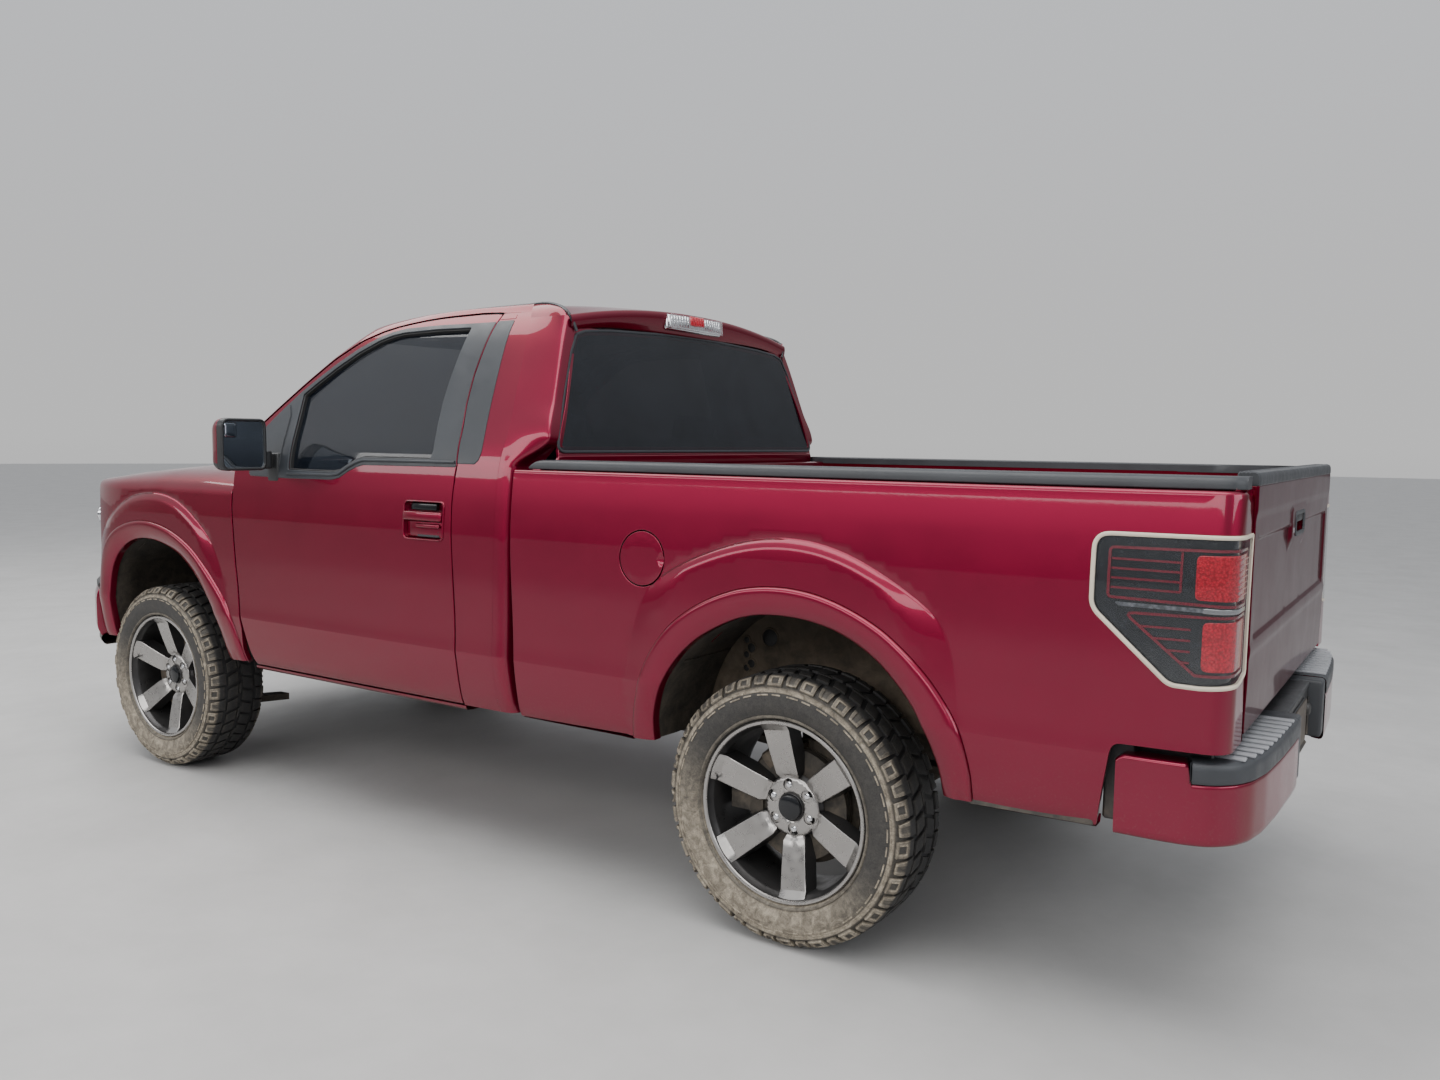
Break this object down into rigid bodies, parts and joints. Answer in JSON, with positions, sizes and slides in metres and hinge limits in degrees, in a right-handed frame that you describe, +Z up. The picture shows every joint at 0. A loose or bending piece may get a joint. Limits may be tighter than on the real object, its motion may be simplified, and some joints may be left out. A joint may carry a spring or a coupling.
{
  "type": "pickup truck",
  "caption": "Full-size two-door pickup truck with open cargo bed, steered front wheels, opening doors, hood, tailgate and fuel flap.",
  "frame": {"origin": "on the ground under the middle of the overall length and width", "axes": "+X towards the nose, +Y to the driver's side, +Z up"},
  "size_m": [5.4145, 2.464, 1.9899],
  "materials": {
    "ruby_paint": "deep ruby metallic under clear coat, light dust low down",
    "tyre": "black rubber with dry beige dust on the shoulders",
    "wheel_alloy": "dark grey six-spoke wheel with brighter machined faces",
    "bare_steel": "cast and machined steel, dusty, light rust",
    "chassis_black": "black frame wax with brown road dust",
    "exhaust_steel": "dull stainless tube, heat stained",
    "black_plastic": "grained black plastic",
    "grey_trim": "satin dark grey cap, finely grained",
    "tinted_glass": "very dark tinted glass",
    "seat_cloth": "dark grey woven cloth",
    "cabin_plastic": "dark grained cabin plastic",
    "wheel_leather": "black stitched leather",
    "clear_lens": "clear lens over bright reflectors",
    "lamp_lens": "smoked and red lamp lens with a cream rim",
    "bed_liner": "textured black bed coating"
  },
  "bodies": {
    "truck": {"frame_rails": "chassis_black", "engine_block": "bare_steel", "rear_axle": "bare_steel", "suspension": "chassis_black", "exhaust": "exhaust_steel", "fuel_tank": "black_plastic", "spare_wheel": "tyre", "cab_floor": "ruby_paint", "cab_side_left": "ruby_paint", "cab_side_right": "ruby_paint", "cab_back_panel": "ruby_paint", "roof_panel": "ruby_paint", "cab_glass": "tinted_glass", "dashboard": "cabin_plastic", "seat_cushion": "seat_cloth", "seat_back": "seat_cloth", "fender_left": "ruby_paint", "fender_right": "ruby_paint", "engine_bay": "chassis_black", "front_bumper": "ruby_paint", "grille": "black_plastic", "headlights": "clear_lens", "bedside_left": "ruby_paint", "bedside_right": "ruby_paint", "bed_box": "ruby_paint", "rear_lamps": "lamp_lens", "rear_bumper": "ruby_paint"},
    "knuckle_left": {"knuckle_left": "bare_steel"},
    "knuckle_right": {"knuckle_right": "bare_steel"},
    "wheel_front_left": {"tyre_front_left": "tyre", "rim_front_left": "wheel_alloy"},
    "wheel_front_right": {"tyre_front_right": "tyre", "rim_front_right": "wheel_alloy"},
    "wheel_rear_left": {"tyre_rear_left": "tyre", "rim_rear_left": "wheel_alloy"},
    "wheel_rear_right": {"tyre_rear_right": "tyre", "rim_rear_right": "wheel_alloy"},
    "driver_door": {"door_left": "ruby_paint", "door_glass_left": "tinted_glass"},
    "passenger_door": {"door_right": "ruby_paint", "door_glass_right": "tinted_glass"},
    "driver_mirror": {"mirror_left": "black_plastic"},
    "passenger_mirror": {"mirror_right": "black_plastic"},
    "hood_lid": {"hood": "ruby_paint"},
    "tailgate_lid": {"tailgate": "ruby_paint"},
    "fuel_flap": {"fuel_door": "ruby_paint"},
    "steering_wheel_body": {"steering_wheel": "wheel_leather"}
  },
  "joints": [
    {"name": "steer_left", "type": "hinge", "parent": "truck", "child": "knuckle_left", "pos_m": [1.7575, 0.77, 0.405], "axis": [0, 0, 1], "range_deg": [-35, 35]},
    {"name": "steer_right", "type": "hinge", "parent": "truck", "child": "knuckle_right", "pos_m": [1.7575, -0.77, 0.405], "axis": [0, 0, 1], "range_deg": [-35, 35]},
    {"name": "roll_front_left", "type": "hinge", "parent": "knuckle_left", "child": "wheel_front_left", "pos_m": [1.7575, 0.84, 0.405], "axis": [0, 1, 0], "continuous": true},
    {"name": "roll_front_right", "type": "hinge", "parent": "knuckle_right", "child": "wheel_front_right", "pos_m": [1.7575, -0.84, 0.405], "axis": [0, 1, 0], "continuous": true},
    {"name": "roll_rear_left", "type": "hinge", "parent": "truck", "child": "wheel_rear_left", "pos_m": [-1.4425, 0.84, 0.405], "axis": [0, 1, 0], "continuous": true},
    {"name": "roll_rear_right", "type": "hinge", "parent": "truck", "child": "wheel_rear_right", "pos_m": [-1.4425, -0.84, 0.405], "axis": [0, 1, 0], "continuous": true},
    {"name": "driver_door_hinge", "type": "hinge", "parent": "truck", "child": "driver_door", "pos_m": [1.05, 0.985, 0.9], "axis": [0, 0, -1], "range_deg": [0, 65]},
    {"name": "passenger_door_hinge", "type": "hinge", "parent": "truck", "child": "passenger_door", "pos_m": [1.05, -0.985, 0.9], "axis": [0, 0, 1], "range_deg": [0, 65]},
    {"name": "driver_mirror_fold", "type": "hinge", "parent": "driver_door", "child": "driver_mirror", "pos_m": [0.9, 1.004, 1.385], "axis": [0, 0, 1], "range_deg": [0, 60]},
    {"name": "passenger_mirror_fold", "type": "hinge", "parent": "passenger_door", "child": "passenger_mirror", "pos_m": [0.9, -1.004, 1.385], "axis": [0, 0, -1], "range_deg": [0, 60]},
    {"name": "hood_hinge", "type": "hinge", "parent": "truck", "child": "hood_lid", "pos_m": [1.335, 0, 1.33], "axis": [0, -1, 0], "range_deg": [0, 50]},
    {"name": "tailgate_hinge", "type": "hinge", "parent": "truck", "child": "tailgate_lid", "pos_m": [-2.6, 0, 0.8], "axis": [0, -1, 0], "range_deg": [0, 90]},
    {"name": "fuel_flap_hinge", "type": "hinge", "parent": "truck", "child": "fuel_flap", "pos_m": [-0.872, 0.985, 1.117], "axis": [0, 0, -1], "range_deg": [0, 100]},
    {"name": "steering_wheel_turn", "type": "hinge", "parent": "truck", "child": "steering_wheel_body", "pos_m": [0.69, 0.4, 1.12], "axis": [-0.9292, 0, 0.3697], "range_deg": [-560, 560]}
  ],
  "couplings": [
    {"joint": "steer_right", "follows": "steer_left", "ratio": 1},
    {"joint": "steering_wheel_turn", "follows": "steer_left", "ratio": 15.7}
  ]
}
